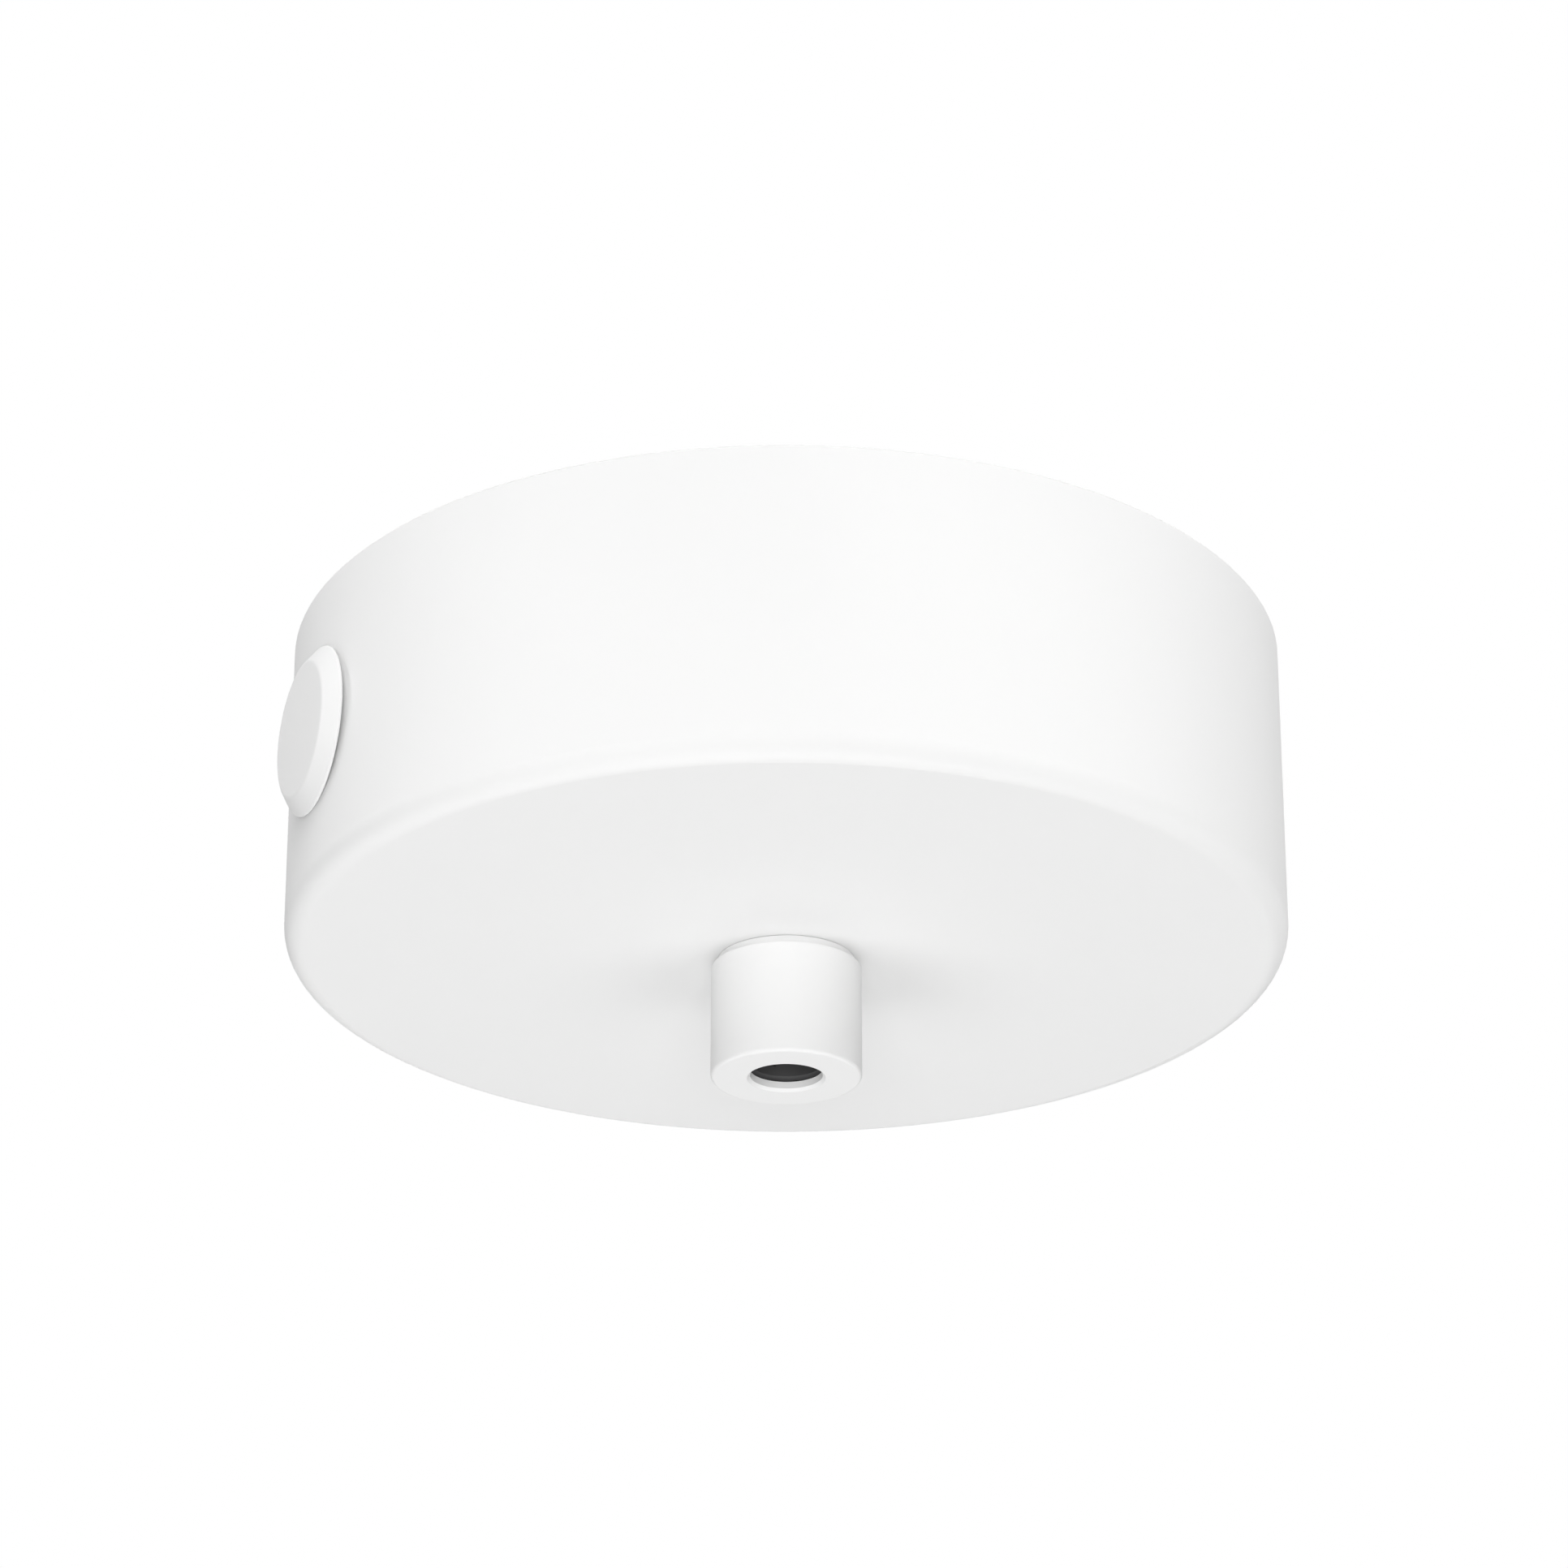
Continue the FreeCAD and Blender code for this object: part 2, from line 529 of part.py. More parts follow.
def make_terminal_block():
    body = new_body("terminal_block")
    web_outline = new_sketch(body, "web_outline", "XY_Plane", along_y="block_offset", height=BLOCK_TOP)
    half_length = "pole_pitch + pole_width / 2"
    rectangle(web_outline, (f"-({half_length})", "-web_length / 2"), (half_length, "web_length / 2"))
    pad(body, "web", web_outline, "web_thickness", reverse=True)
    arches = new_sketch(body, "pole_outlines", "XZ_Plane", height="-block_offset")
    for place in POLE_PLACES:
        arch(arches, (place, TUBE_AXIS), "pole_width / 2", BLOCK_TOP)
    pad(body, "poles", arches, "pole_length", both_ways=True)
    towers = new_sketch(body, "tower_outlines", "XY_Plane", height=TUBE_AXIS)
    wells = new_sketch(body, "well_outlines", "XY_Plane", height=TUBE_AXIS)
    for place in POLE_PLACES:
        for offset in WELL_PLACES:
            circle(towers, (place, offset), "well_diameter + 2 * well_wall")
            circle(wells, (place, offset), "well_diameter")
    pad(body, "towers", towers, "well_drop", reverse=True)
    tunnels = new_sketch(body, "tunnel_outlines", "XZ_Plane", height="-block_offset")
    for place in POLE_PLACES:
        circle(tunnels, (place, TUBE_AXIS), "tube_diameter + 2 * press_gap")
    pocket(body, "tunnels", tunnels, both_ways=True)
    pocket(body, "wells", wells)
    holes = new_sketch(body, "fixing_hole_outlines", "XY_Plane", along_y="block_offset")
    for side in ("", "-"):
        circle(holes, (f"{side}pole_pitch / 2", "0"), "block_screw_thread + 2 * hole_clearance")
    pocket(body, "fixing_holes", holes)
    return body


def make_terminal_tube(name, place):
    body = new_body(f"terminal_tube_{name}")
    rings = new_sketch(body, "rings", "XZ_Plane", height="-block_offset")
    circle(rings, (place, TUBE_AXIS), "tube_diameter")
    circle(rings, (place, TUBE_AXIS), "tube_bore")
    pad(body, "tube", rings, "tube_length", both_ways=True)
    holes = new_sketch(body, "screw_hole_outlines", "XY_Plane", height=TUBE_AXIS)
    for offset in WELL_PLACES:
        circle(holes, (place, offset), "clamp_screw_thread + 2 * thread_gap")
    pocket(body, "screw_holes", holes)
    return body


def make_terminal_screws():
    body = new_body("terminal_screws")
    heads = new_sketch(body, "heads_outline", "XY_Plane", height=SCREW_HEAD_TOP)
    tip = f"{TUBE_AXIS} - tube_bore / 2 + clamp_screw_reach"
    shanks = new_sketch(body, "shanks_outline", "XY_Plane", height=tip)
    foot = f"{SCREW_HEAD_TOP} - clamp_screw_head_height"
    slots = new_sketch(body, "slots_outline", "XY_Plane", height=foot)
    for place in POLE_PLACES:
        for offset in WELL_PLACES:
            circle(heads, (place, offset), "clamp_screw_head")
            circle(shanks, (place, offset), "clamp_screw_thread")
            rectangle(slots, (f"{place} - clamp_screw_head", f"{offset} - drive_width / 2"),
                      (f"{place} + clamp_screw_head", f"{offset} + drive_width / 2"))
    pad(body, "heads", heads, "clamp_screw_head_height", reverse=True)
    pad(body, "shanks", shanks, f"{tip} - ({SCREW_HEAD_TOP})", reverse=True)
    pocket(body, "slots", slots, length="drive_depth", reverse=True)
    return body


def make_slotted_screw(label, place, seat, thread, head, head_height):
    """Cheese-headed screw that points up into the strap, with its head below the seat."""
    body = new_body(label)
    tip = "-screw_tip_recess"
    section = new_sketch(body, "section", "XZ_Plane", along_x=place[0], height=f"-({place[1]})")
    foot = f"({seat}) - {head_height}"
    shank = f"{thread} / 2"
    outline(section, [("0", tip), (f"{shank} - screw_tip_chamfer", tip),
                      (shank, f"{tip} - screw_tip_chamfer"), (shank, seat), (f"{head} / 2", seat),
                      (f"{head} / 2", foot), ("0", foot)])
    turn(body, "screw", section)
    drive = new_sketch(body, "drive_outline", "XY_Plane", along_x=place[0], along_y=place[1], height=foot)
    rectangle(drive, (f"-{head}", "-drive_width / 2"), (head, "drive_width / 2"))
    pocket(body, "drive", drive, length="drive_depth", reverse=True)
    return body


def make_earth_plate():
    body = new_body("earth_clamp_plate")
    square = new_sketch(body, "square", "XY_Plane", along_x="-earth_offset", height=EARTH_SEAT)
    half = "earth_plate_width / 2"
    rectangle(square, (f"-{half}", f"-{half}"), (half, half))
    pad(body, "plate", square, "earth_plate_thickness", reverse=True)
    lips = new_sketch(body, "lip_outlines", "XY_Plane", along_x="-earth_offset", height=EARTH_SEAT)
    for side in ("", "-"):
        ends = (f"{side}{half}", f"{side}({half} - earth_plate_thickness)")
        rectangle(lips, (ends[0], f"-{half}"), (ends[1], half))
    pad(body, "lips", lips, "earth_plate_lip")
    hole = new_sketch(body, "hole_outline", "XY_Plane", along_x="-earth_offset")
    circle(hole, ("0", "0"), "earth_thread + 2 * hole_clearance")
    pocket(body, "hole", hole)
    return body


def make_earth_washer():
    body = new_body("earth_spring_washer")
    rings = new_sketch(body, "rings", "XY_Plane", along_x="-earth_offset", height=EARTH_PLATE_FOOT)
    circle(rings, ("0", "0"), "earth_washer_diameter")
    circle(rings, ("0", "0"), "earth_thread + 2 * hole_clearance")
    pad(body, "ring", rings, "earth_washer_thickness", reverse=True)
    split = new_sketch(body, "split_outline", "XY_Plane", along_x="-earth_offset", height=EARTH_PLATE_FOOT)
    rectangle(split, ("-earth_washer_split / 2", "0"), ("earth_washer_split / 2", "earth_washer_diameter"))
    pocket(body, "split", split)
    return body


def make_parts():
    yield make_cup()
    yield make_bracket()
    yield make_press_nuts()
    yield make_side_screw("left_side_screw", "-")
    yield make_side_screw("right_side_screw", "")
    yield make_grip_core()
    yield make_lock_washer()
    yield make_lock_nut()
    yield make_clamp_ring()
    yield make_cap()
    yield make_terminal_block()
    for name, place in zip(POLE_NAMES, POLE_PLACES):
        yield make_terminal_tube(name, place)
    yield make_terminal_screws()
    yield make_slotted_screw("block_screw", ("pole_pitch / 2", "block_offset"), WEB_FOOT,
                             "block_screw_thread", "block_screw_head", "block_screw_head_height")
    yield make_slotted_screw("earth_screw", ("-earth_offset", "0"), EARTH_WASHER_FOOT,
                             "earth_thread", "earth_head", "earth_head_height")
    yield make_earth_plate()
    yield make_earth_washer()


def check_document(parts):
    """Stop if any object failed to build or any piece isn't a valid shape."""
    for item in doc.Objects:
        if any(state in ("Invalid", "Error") for state in item.State):
            raise RuntimeError(f"{item.Label} failed: {item.State}")
    for part in parts:
        if part.Shape.isNull() or not part.Shape.isValid() or not part.Shape.Solids:
            raise RuntimeError(f"{part.Label} has no valid solid")


pieces = list(make_parts())
doc.recompute()
check_document(pieces)
os.makedirs("parts", exist_ok=True)
for piece in pieces:
    piece.Shape.exportStep(f"parts/{piece.Label}.step")
    print(f"{piece.Label}: {len(piece.Shape.Solids)} solid(s), {piece.Shape.Volume:.1f} mm3")
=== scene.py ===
"""White ceiling rose for one pendant flex: finishes, threads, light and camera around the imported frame."""

import json
import math

import bmesh
import bpy
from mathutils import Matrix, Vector


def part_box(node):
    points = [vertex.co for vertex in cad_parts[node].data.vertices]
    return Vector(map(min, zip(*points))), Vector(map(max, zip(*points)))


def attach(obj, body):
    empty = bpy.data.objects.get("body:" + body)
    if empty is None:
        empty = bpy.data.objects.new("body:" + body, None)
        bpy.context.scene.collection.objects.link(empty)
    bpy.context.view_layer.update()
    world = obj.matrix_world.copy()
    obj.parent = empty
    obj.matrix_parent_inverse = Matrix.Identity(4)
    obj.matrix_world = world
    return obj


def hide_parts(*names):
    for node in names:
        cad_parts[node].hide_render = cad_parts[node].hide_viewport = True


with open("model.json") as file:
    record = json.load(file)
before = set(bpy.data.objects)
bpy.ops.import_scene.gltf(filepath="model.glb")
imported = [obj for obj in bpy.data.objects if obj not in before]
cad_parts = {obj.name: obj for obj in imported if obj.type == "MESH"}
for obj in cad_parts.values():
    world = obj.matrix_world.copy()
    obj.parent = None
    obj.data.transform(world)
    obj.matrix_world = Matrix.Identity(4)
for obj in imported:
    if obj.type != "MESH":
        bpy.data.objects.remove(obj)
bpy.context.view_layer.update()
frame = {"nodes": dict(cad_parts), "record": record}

MM = 0.001
FULL_TURN = 2 * math.pi
SHARP_ANGLE = math.radians(40)


def add_object(name, data):
    """Put a mesh, lamp or camera in the scene."""
    made = bpy.data.objects.new(name, data)
    bpy.context.scene.collection.objects.link(made)
    return made


# Shader maths


class Wire:
    """Output socket of a node tree; sums, products and numbers less a wire add Math nodes."""

    def __init__(self, tree, socket=None):
        self.tree = tree
        self.socket = socket

    def node(self, kind, settings=None, sockets=None, output=0):
        """Add a node: its settings come first, then the values or links of its sockets."""
        made = self.tree.nodes.new(kind)
        for name, value in (settings or {}).items():
            if name == "stops":
                set_stops(made.color_ramp, value)
            else:
                setattr(made, name, value)
        for name, value in (sockets or {}).items():
            plug(self.tree, made.inputs[name], value)
        return Wire(self.tree, made.outputs[output])

    def maths(self, operation, *values):
        return self.node("ShaderNodeMath", {"operation": operation}, dict(enumerate(values)))

    def __add__(self, other):
        return self.maths("ADD", self, other)

    __radd__ = __add__

    def __mul__(self, other):
        return self.maths("MULTIPLY", self, other)

    __rmul__ = __mul__

    def __rsub__(self, other):
        return self.maths("SUBTRACT", other, self)


def plug(tree, socket, value):
    """Give a socket a value, or link a wire to it."""
    if isinstance(value, Wire):
        tree.links.new(value.socket, socket)
    else:
        socket.default_value = value


def set_stops(band, stops):
    """Give a colour band its stops of (position, colour)."""
    while len(band.elements) < len(stops):
        band.elements.new(0.5)
    for element, (position, colour) in zip(band.elements, stops):
        element.position = position
        element.color = colour


def grey(level):
    return (level, level, level, 1.0)


def object_place(tree):
    """Coordinates that stay with a piece, in metres."""
    return Wire(tree).node("ShaderNodeTexCoord", output="Object")


def stretched(place, scale):
    """Coordinates with another scale along each axis."""
    return place.node("ShaderNodeVectorMath", {"operation": "MULTIPLY"}, {0: place, 1: scale})


def noise(place, scale, detail=2.0, roughness=0.5, output=0):
    """Cloudy noise with about this many clouds to the metre."""
    return place.node("ShaderNodeTexNoise", None,
                      {"Vector": place, "Scale": scale, "Detail": detail, "Roughness": roughness}, output)


def ramp(value, *stops):
    """Grey ramp of a value between stops of (position, level)."""
    greys = [(position, grey(level)) for position, level in stops]
    return value.node("ShaderNodeValToRGB", {"stops": greys}, {"Fac": value})


def blended(share, first, second):
    """Colour between two colours."""
    return share.node("ShaderNodeMix", {"data_type": "RGBA"}, {0: share, 6: first, 7: second}, output=2)


def relief(height, depth):
    """Normal of a surface with a fine relief; its depth is in metres."""
    return height.node("ShaderNodeBump", None, {"Height": height, "Distance": depth, "Strength": 0.5})


# Finishes


def new_finish(name, **constants):
    """Material with its shader; the constants are the sockets that are the same all over."""
    material = bpy.data.materials.new(name)
    material.use_nodes = True
    shader = material.node_tree.nodes["Principled BSDF"]
    for socket, value in constants.items():
        shader.inputs[socket.replace("_", " ")].default_value = value
    return material, shader


def varied(material, shader, sockets):
    """Link what changes over the surface."""
    for socket, value in sockets.items():
        plug(material.node_tree, shader.inputs[socket], value)
    return material


def white_coat():
    """Matt white powder coat with a fine orange peel."""
    material, shader = new_finish("white_powder_coat", Specular_IOR_Level=0.22)
    place = object_place(material.node_tree)
    cloud = noise(place, 45.0, 3.0)
    peel = noise(place, 620.0, 2.0)
    grain = noise(place, 2600.0, 1.0)
    return varied(material, shader, {
        "Base Color": blended(cloud, (0.905, 0.905, 0.902, 1), (0.885, 0.886, 0.884, 1)),
        "Roughness": 0.64 + 0.10 * cloud + 0.05 * grain,
        "Normal": relief(peel + 0.25 * grain, 0.012 * MM),
    })


def zinc_sheet():
    """Galvanised sheet: small crystals of the zinc under faint rolling lines."""
    material, shader = new_finish("galvanised_sheet")
    place = object_place(material.node_tree)
    sway = noise(place, 300.0, 1.0, output="Color")
    reach = (3 * MM, 3 * MM, 3 * MM)
    bent = place.node("ShaderNodeVectorMath", {"operation": "MULTIPLY_ADD"}, {0: sway, 1: reach, 2: place})
    crystal = place.node("ShaderNodeTexVoronoi", None, {"Vector": bent, "Scale": 430.0}, output="Color")
    flake = crystal.node("ShaderNodeSeparateColor", None, {"Color": crystal})
    lines = noise(stretched(place, (60.0, 5200.0, 60.0)), 1.0, 2.0)
    cloud = noise(place, 70.0, 3.0)
    tone = 0.40 * flake + 0.35 * lines + 0.25 * cloud
    return varied(material, shader, {
        "Base Color": blended(tone, (0.54, 0.555, 0.57, 1), (0.69, 0.70, 0.715, 1)),
        "Metallic": 0.97 - 0.06 * cloud,
        "Roughness": 0.40 + 0.12 * flake + 0.10 * cloud,
        "Normal": relief(0.4 * flake + 0.6 * lines, 0.006 * MM),
    })


def plated_steel():
    """Bright zinc plate with turning marks and a few dull clouds."""
    material, shader = new_finish("zinc_plated_steel")
    place = object_place(material.node_tree)
    cloud = noise(place, 220.0, 3.0)
    marks = noise(stretched(place, (900.0, 900.0, 5200.0)), 1.0, 2.0)
    return varied(material, shader, {
        "Base Color": blended(cloud, (0.69, 0.695, 0.705, 1), (0.57, 0.58, 0.60, 1)),
        "Metallic": 1.0 - 0.05 * cloud,
        "Roughness": 0.20 + 0.16 * cloud + 0.06 * marks,
        "Normal": relief(marks, 0.003 * MM),
    })


def drawn_brass():
    """Drawn brass with drawing lines along the tubes and a light tarnish."""
    material, shader = new_finish("drawn_brass")
    place = object_place(material.node_tree)
    lines = noise(stretched(place, (5200.0, 220.0, 5200.0)), 1.0, 2.0)
    tarnish = ramp(noise(place, 260.0, 4.0, 0.6), (0.42, 0.0), (0.72, 1.0))
    return varied(material, shader, {
        "Base Color": blended(0.75 * tarnish, (0.80, 0.60, 0.29, 1), (0.50, 0.34, 0.15, 1)),
        "Metallic": 1.0 - 0.06 * tarnish,
        "Roughness": 0.20 + 0.20 * tarnish + 0.08 * lines,
        "Normal": relief(lines, 0.004 * MM),
    })


def block_nylon():
    """Natural nylon, slightly see-through, with the fine grain of its mould."""
    material, shader = new_finish("natural_nylon", Subsurface_Weight=0.35, Subsurface_Scale=0.6 * MM,
                                  Subsurface_Radius=(1.0, 0.9, 0.7))
    place = object_place(material.node_tree)
    cloud = noise(place, 120.0, 3.0)
    grain = noise(place, 3200.0, 2.0)
    return varied(material, shader, {
        "Base Color": blended(cloud, (0.87, 0.865, 0.82, 1), (0.80, 0.795, 0.74, 1)),
        "Roughness": 0.38 + 0.12 * cloud + 0.08 * grain,
        "Normal": relief(grain, 0.008 * MM),
    })


def black_nylon():
    """Black nylon with the fine grain of its mould."""
    material, shader = new_finish("black_nylon")
    place = object_place(material.node_tree)
    cloud = noise(place, 300.0, 3.0)
    grain = noise(place, 3600.0, 2.0)
    return varied(material, shader, {
        "Base Color": blended(cloud, (0.052, 0.052, 0.053, 1), (0.078, 0.078, 0.079, 1)),
        "Roughness": 0.42 + 0.14 * cloud + 0.08 * grain,
        "Normal": relief(grain, 0.008 * MM),
    })


FINISHES = {
    "white_coat": white_coat(),
    "zinc_sheet": zinc_sheet(),
    "plated_steel": plated_steel(),
    "brass": drawn_brass(),
    "block_nylon": block_nylon(),
    "black_nylon": black_nylon(),
}


# Turned pieces and threads, in millimetres

CREST_SHARE = 0.10
FLANK_SHARE = 0.32
CORNER_SHARE = 0.45
MERGE_DISTANCE = 0.001


def groove(turns):
    """Depth of a thread's groove, from 0 on the crest to 1 at the root, over one pitch."""
    share = turns % 1.0
    if share < CREST_SHARE:
        return 0.0
    if share < CREST_SHARE + FLANK_SHARE:
        return (share - CREST_SHARE) / FLANK_SHARE
    if share < 1.0 - FLANK_SHARE:
        return 1.0
    return (1.0 - share) / FLANK_SHARE


def softened(points, radius, steps=4):
    """Outline with its inner corners rounded; each point is (along, radius)."""
    result = [points[0]]
    for before, corner, after in zip(points, points[1:], points[2:]):
        corner = Vector(corner)
        to_before = Vector(before) - corner
        to_after = Vector(after) - corner
        reach = min(radius, CORNER_SHARE * to_before.length, CORNER_SHARE * to_after.length)
        start = corner + to_before.normalized() * reach
        end = corner + to_after.normalized() * reach
        for step in range(steps + 1):
            t = step / steps
            point = start * (1 - t) ** 2 + corner * 2 * t * (1 - t) + end * t ** 2
            result.append((point.x, point.y))
    result.append(points[-1])
    return result


def turned(name, stations, centre, axis, pitch=1.0, segments=96, closed=False):
    """Piece turned round an axis from stations of (along, crest radius, root radius)."""
    along = Vector(axis).normalized()
    first = along.orthogonal().normalized()
    second = along.cross(first)
    shape = bmesh.new()
    rings = []
    for place, crest, root in stations:
        ring = []
        for index in range(segments):
            share = index / segments
            radius = crest - (crest - root) * groove(place / pitch - share)
            angle = FULL_TURN * share
            side = first * math.cos(angle) + second * math.sin(angle)
            ring.append(shape.verts.new((Vector(centre) + along * place + side * radius) * MM))
        rings.append(ring)
    pairs = list(zip(rings, rings[1:]))
    if closed:
        pairs.append((rings[-1], rings[0]))
    for low, high in pairs:
        for index in range(segments):
            after = (index + 1) % segments
            shape.faces.new((low[index], low[after], high[after], high[index]))
    bmesh.ops.remove_doubles(shape, verts=shape.verts, dist=MERGE_DISTANCE * MM)
    bmesh.ops.recalc_face_normals(shape, faces=shape.faces)
    mesh = bpy.data.meshes.new(name)
    shape.to_mesh(mesh)
    shape.free()
    mesh.polygons.foreach_set("use_smooth", [True] * len(mesh.polygons))
    mesh.set_sharp_from_angle(angle=SHARP_ANGLE)
    return add_object(name, mesh)


def threaded(start, end, crest, root, pitch, rows=14):
    """Stations of a thread between two places; its ends run out within half a pitch."""
    count = max(2, round(abs(end - start) / pitch * rows))
    stations = []
    for index in range(count + 1):
        place = start + (end - start) * index / count
        from_end = min(abs(place - start), abs(end - place))
        share = min(1.0, from_end / (0.5 * pitch))
        stations.append((place, crest, crest - (crest - root) * share))
    return stations


def plain(points):
    """Stations of a plain turned outline."""
    return [(place, radius, radius) for place, radius in points]


def place_piece(piece, node, body, slot):
    """Give a turned piece its finish and its body, and hide the CAD node that it stands for."""
    piece.data.materials.append(FINISHES[slot])
    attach(piece, body)
    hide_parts(node)


def extent(node):
    """Lowest and highest corner of a CAD node."""
    low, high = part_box(node)
    return low / MM, high / MM


HEAD_THICKNESS = 1.6
HEAD_BEVEL_WIDTH = 1.7
HEAD_BEVEL_DEPTH = 1.3
HEAD_EDGE_ROUND = 0.25
SCREW_PITCH = 0.7
SCREW_RADIUS = 2.0
SCREW_ROOT = 1.58
SCREW_NECK = 1.78
SCREW_TIP = 1.48
TIP_LEAD = 0.4
NECK_LENGTH = 0.8
NECK_LEAD = 0.1
SHANK_LET_IN = 0.4


def make_side_screw(side, body, node):
    """White disc head on a plated shank; places run outward from the head's seat."""
    low, high = extent(node)
    tip, face = sorted((side * low.x, side * high.x))
    seat_place = face - HEAD_THICKNESS
    head_radius = (high.z - low.z) / 2
    outward = (side, 0.0, 0.0)
    seat = (side * seat_place, 0.0, (low.z + high.z) / 2)
    outline = [(0.0, 0.0), (0.0, head_radius), (HEAD_THICKNESS - HEAD_BEVEL_DEPTH, head_radius),
               (HEAD_THICKNESS, head_radius - HEAD_BEVEL_WIDTH), (HEAD_THICKNESS, 0.0)]
    head = turned(f"{body}_head", plain(softened(outline, HEAD_EDGE_ROUND)), seat, outward, segments=128)
    place_piece(head, node, body, "white_coat")
    end = tip - seat_place
    stations = plain([(end, 0.0), (end, SCREW_TIP)])
    stations += threaded(end + TIP_LEAD, -NECK_LENGTH - NECK_LEAD, SCREW_RADIUS, SCREW_ROOT, SCREW_PITCH)
    stations += plain([(-NECK_LENGTH, SCREW_NECK), (SHANK_LET_IN, SCREW_NECK), (SHANK_LET_IN, 0.0)])
    shank = turned(f"{body}_thread", stations, seat, outward, SCREW_PITCH, segments=48)
    place_piece(shank, node, body, "plated_steel")


CORE_PITCH = 1.0
CORE_DEPTH = 0.5
CORE_BORE = 3.6
CORE_UPPER = 5.0
CORE_SHOULDER = -32.0
UPPER_LEAD = 0.4
LOWER_LEAD = 0.5
FOOT_LEAD = 0.2
FOOT_CHAMFER = 0.3
CONE_MOUTH = 5.5
CONE_THROAT = 4.7
CONE_DEPTH = 3.8


def make_grip_core():
    """Hollow core with a thread for the lock nut and a larger one for the cap."""
    low, high = extent("grip_core")
    top = high.z
    foot = low.z
    cone_top = foot + CONE_DEPTH
    lower = (high.x - low.x) / 2
    upper_root = CORE_UPPER - CORE_DEPTH
    lower_root = lower - CORE_DEPTH
    stations = plain([(top, CORE_BORE), (top, upper_root)])
    stations += threaded(top - UPPER_LEAD, CORE_SHOULDER + UPPER_LEAD, CORE_UPPER, upper_root, CORE_PITCH)
    stations += plain([(CORE_SHOULDER, CORE_UPPER), (CORE_SHOULDER, lower)])
    stations += threaded(CORE_SHOULDER - LOWER_LEAD, foot + FOOT_LEAD, lower, lower_root, CORE_PITCH)
    stations += plain([(foot, lower - FOOT_CHAMFER), (foot, CONE_MOUTH)])
    stations += plain([(cone_top, CONE_THROAT), (cone_top, CORE_BORE)])
    core = turned("grip_core_threads", stations, (0.0, 0.0, 0.0), (0.0, 0.0, 1.0), CORE_PITCH, closed=True)
    place_piece(core, "grip_core", "canopy", "plated_steel")


make_side_screw(-1.0, "left_screw", "left_side_screw")
make_side_screw(1.0, "right_screw", "right_side_screw")
make_grip_core()


# Finishes of all the solids, and softened edges in millimetres on the small ones

EDGE_WIDTHS = {
    "ceiling_bracket": 0.15,
    "bracket_press_nuts": 0.15,
    "grip_lock_washer": 0.10,
    "grip_lock_nut": 0.15,
    "grip_clamp_ring": 0.12,
    "terminal_block": 0.18,
    "terminal_screws": 0.10,
    "block_screw": 0.12,
    "earth_screw": 0.15,
    "earth_clamp_plate": 0.15,
    "earth_spring_washer": 0.12,
    "terminal_tube_live": 0.10,
    "terminal_tube_neutral": 0.10,
    "terminal_tube_earth": 0.10,
}
SLOTS = {subpart["node"]: subpart["material_slot"] for subpart in frame["record"]["subparts"]}

for node, piece in frame["nodes"].items():
    piece.data.materials.clear()
    piece.data.materials.append(FINISHES[SLOTS[node]])
    if node in EDGE_WIDTHS:
        edges = piece.modifiers.new("softened_edges", "BEVEL")
        edges.width = EDGE_WIDTHS[node] * MM
        edges.segments = 2
        edges.limit_method = "ANGLE"
        edges.angle_limit = SHARP_ANGLE


# Camera, floor and light, in metres and degrees; the lens and its sensor are in millimetres

CAMERA_AZIMUTH = -23.0
CAMERA_DISTANCE = 0.5140
CAMERA_HEIGHT = -0.2433
CAMERA_PITCH = 24.17
CAMERA_ASIDE = -0.00023
CAMERA_LENS = 127.85
SENSOR_WIDTH = 36.0
CLIP_START = 0.01

FLOOR_HEIGHT = -0.95
FLOOR_REACH = 40.0
FLOOR_TONE = 0.86
NEAR_DISTANCE = 1.0
NEAR_GLOW = 0.45
FAR_DISTANCE = 6.0
FAR_GLOW = 0.93

AMBIENT = 0.10
LAMPS = (
    # name, angle aside of the camera, elevation, distance, size, power in watts, seen in reflections
    ("key_light", -13.0, 50.0, 1.2, 0.7, 6.9, False),
    ("left_light", -75.0, 25.0, 1.2, 0.5, 2.3, False),
    ("right_light", 80.0, 25.0, 1.2, 0.5, 6.5, False),
    ("front_light", 0.0, -23.0, 1.2, 0.5, 5.7, True),
    ("low_left_light", -55.0, -45.0, 1.0, 0.6, 2.1, False),
    ("low_right_light", 55.0, -45.0, 1.0, 0.6, 1.65, False),
    ("under_light", 180.0, -62.0, 0.85, 0.4, 0.7, False),
    ("top_light", -95.0, 64.0, 1.2, 0.8, 3.0, True),
    ("back_light", 180.0, 8.0, 1.3, 0.8, 8.0, False),
)


def make_camera():
    """Camera below the rose, fitted to the cup's outline."""
    turn = math.radians(CAMERA_AZIMUTH)
    rise = math.radians(CAMERA_PITCH)
    back = Vector((math.sin(turn), -math.cos(turn), 0.0))
    right = Vector((math.cos(turn), math.sin(turn), 0.0))
    lens = bpy.data.cameras.new("camera")
    lens.lens = CAMERA_LENS
    lens.sensor_width = SENSOR_WIDTH
    lens.clip_start = CLIP_START
    camera = add_object("camera", lens)
    camera.location = back * CAMERA_DISTANCE + right * CAMERA_ASIDE + Vector((0.0, 0.0, CAMERA_HEIGHT))
    forward = -back * math.cos(rise) + Vector((0.0, 0.0, math.sin(rise)))
    camera.rotation_euler = forward.to_track_quat("-Z", "Y").to_euler()
    bpy.context.scene.camera = camera


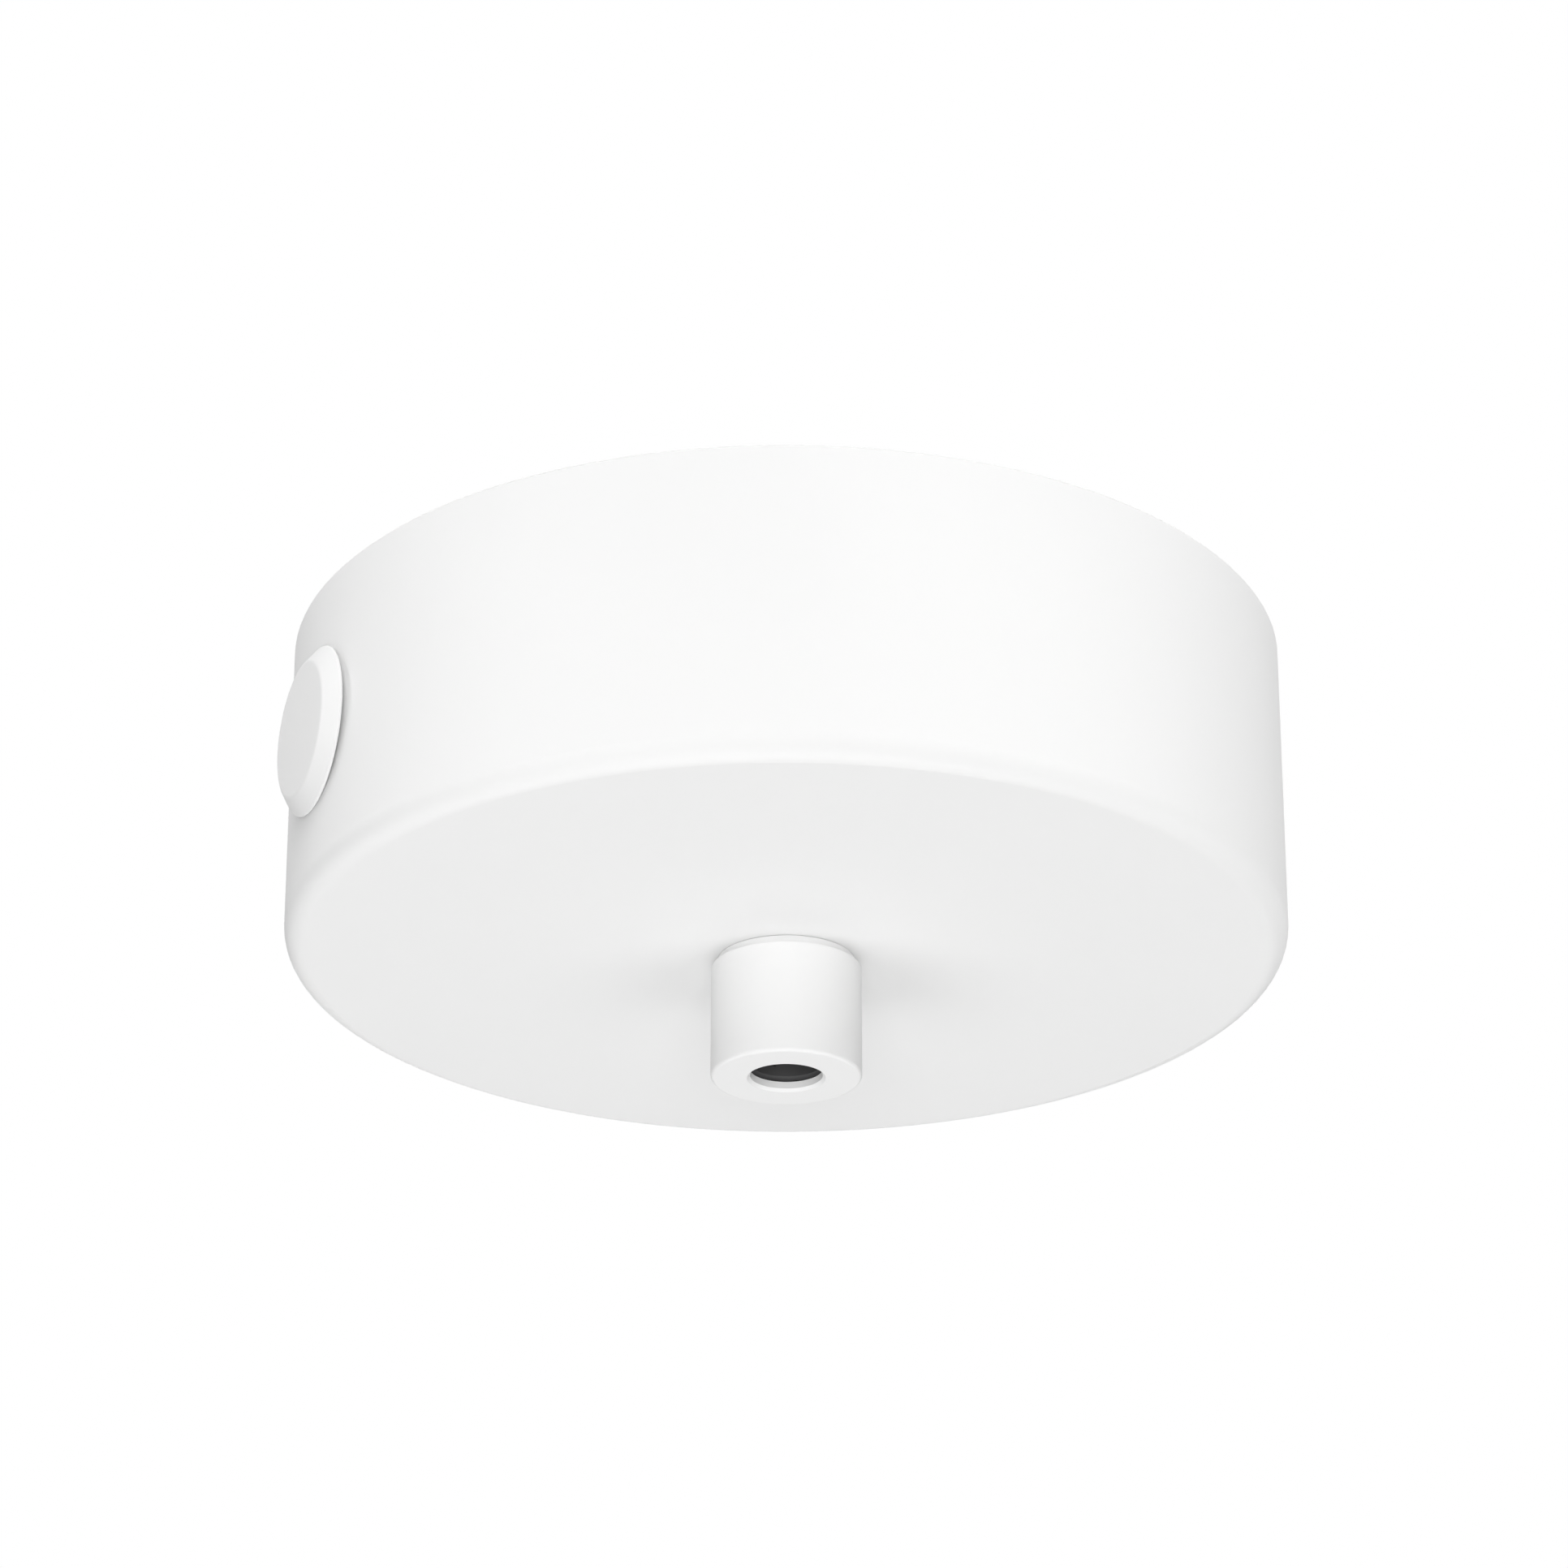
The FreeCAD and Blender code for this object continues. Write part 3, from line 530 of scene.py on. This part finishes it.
def make_floor():
    """Pale floor far below the rose; for the camera it turns white with the distance."""
    mesh = bpy.data.meshes.new("floor")
    signs = ((-1, -1), (1, -1), (1, 1), (-1, 1))
    corners = [(x * FLOOR_REACH, y * FLOOR_REACH, FLOOR_HEIGHT) for x, y in signs]
    mesh.from_pydata(corners, [], [(0, 1, 2, 3)])
    material, shader = new_finish("pale_floor", Roughness=0.8, Emission_Strength=1.0,
                                  Base_Color=grey(FLOOR_TONE))
    place = object_place(material.node_tree)
    away = place.node("ShaderNodeVectorMath", {"operation": "LENGTH"}, {0: place}, output="Value")
    glow = place.node("ShaderNodeMapRange", {"interpolation_type": "SMOOTHSTEP"},
                      {"Value": away, "From Min": NEAR_DISTANCE, "From Max": FAR_DISTANCE,
                       "To Min": NEAR_GLOW, "To Max": FAR_GLOW})
    seen = place.node("ShaderNodeLightPath", output="Is Camera Ray")
    mesh.materials.append(varied(material, shader, {"Emission Color": seen * glow}))
    add_object("floor", mesh)


def make_world():
    """Plain grey light all round, and white behind the object and in its reflections."""
    world = bpy.data.worlds.new("studio")
    bpy.context.scene.world = world
    world.use_nodes = True
    tree = world.node_tree
    seen = Wire(tree).node("ShaderNodeLightPath", output="Is Camera Ray")
    rays = seen.socket.node.outputs
    for kind in ("Is Glossy Ray", "Is Transmission Ray"):
        seen = seen.maths("MAXIMUM", seen, Wire(tree, rays[kind]))
    background = tree.nodes["Background"]
    background.inputs["Color"].default_value = grey(1.0)
    plug(tree, background.inputs["Strength"], AMBIENT + (1.0 - AMBIENT) * seen)


def softbox(name, aside, elevation, distance, size, power, mirrored):
    """Square lamp that faces the rose from an angle aside of the camera."""
    turn = math.radians(CAMERA_AZIMUTH + aside)
    rise = math.radians(elevation)
    back = Vector((math.sin(turn) * math.cos(rise), -math.cos(turn) * math.cos(rise), math.sin(rise)))
    lamp = bpy.data.lights.new(name, "AREA")
    lamp.shape = "SQUARE"
    lamp.size = size
    lamp.energy = power
    stand = add_object(name, lamp)
    stand.location = back * distance
    stand.rotation_euler = (-back).to_track_quat("-Z", "Y").to_euler()
    stand.visible_camera = False
    stand.visible_glossy = mirrored


make_camera()
make_floor()
make_world()
for lamp in LAMPS:
    softbox(*lamp)
bpy.context.scene.view_settings.view_transform = "Standard"
